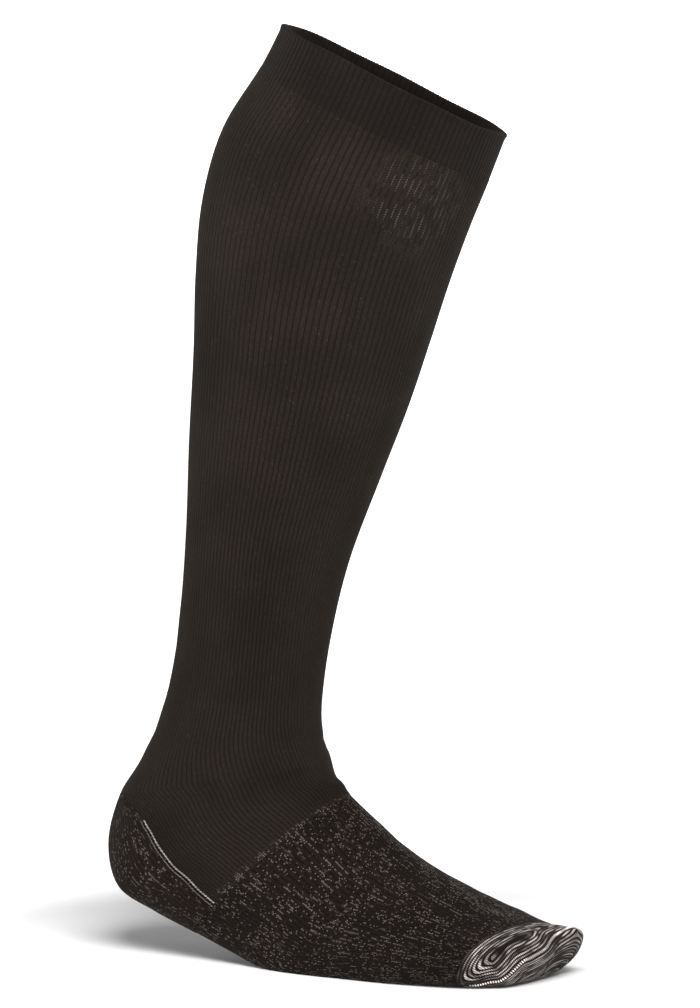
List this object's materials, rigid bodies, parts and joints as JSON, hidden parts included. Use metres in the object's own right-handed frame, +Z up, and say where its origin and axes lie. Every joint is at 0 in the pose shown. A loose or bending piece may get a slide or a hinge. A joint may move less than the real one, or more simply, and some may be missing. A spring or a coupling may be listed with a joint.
{
  "type": "compression stocking",
  "caption": "Knee-high ribbed compression stocking in its hollow worn form, heel lifted, with heel pocket and striped toe cap.",
  "frame": {"origin": "centre of the cuff opening, where the leg holds the stocking up", "axes": "+X to the toes, +Y to the inner side of the leg, +Z up; the floor is 426 mm below the origin"},
  "size_m": [0.2485, 0.121, 0.4528],
  "materials": {
    "welt_knit": "black double knit, matt, soft at the edge",
    "rib_knit": "black ribbed compression knit, matt with a faint nap",
    "heel_marl": "black plain knit with fine grey specks",
    "foot_marl": "black knit with fine pale specks along the wales",
    "toe_stripe": "black and white space-dyed courses",
    "seam_thread": "pale grey linked seam"
  },
  "bodies": {
    "root": {"welt": "welt_knit", "leg": "rib_knit", "heel_pocket": "heel_marl", "foot": "foot_marl", "toe_cap": "toe_stripe", "gore_seam_outer": "seam_thread", "gore_seam_inner": "seam_thread", "toe_seam": "seam_thread"}
  },
  "joints": []
}
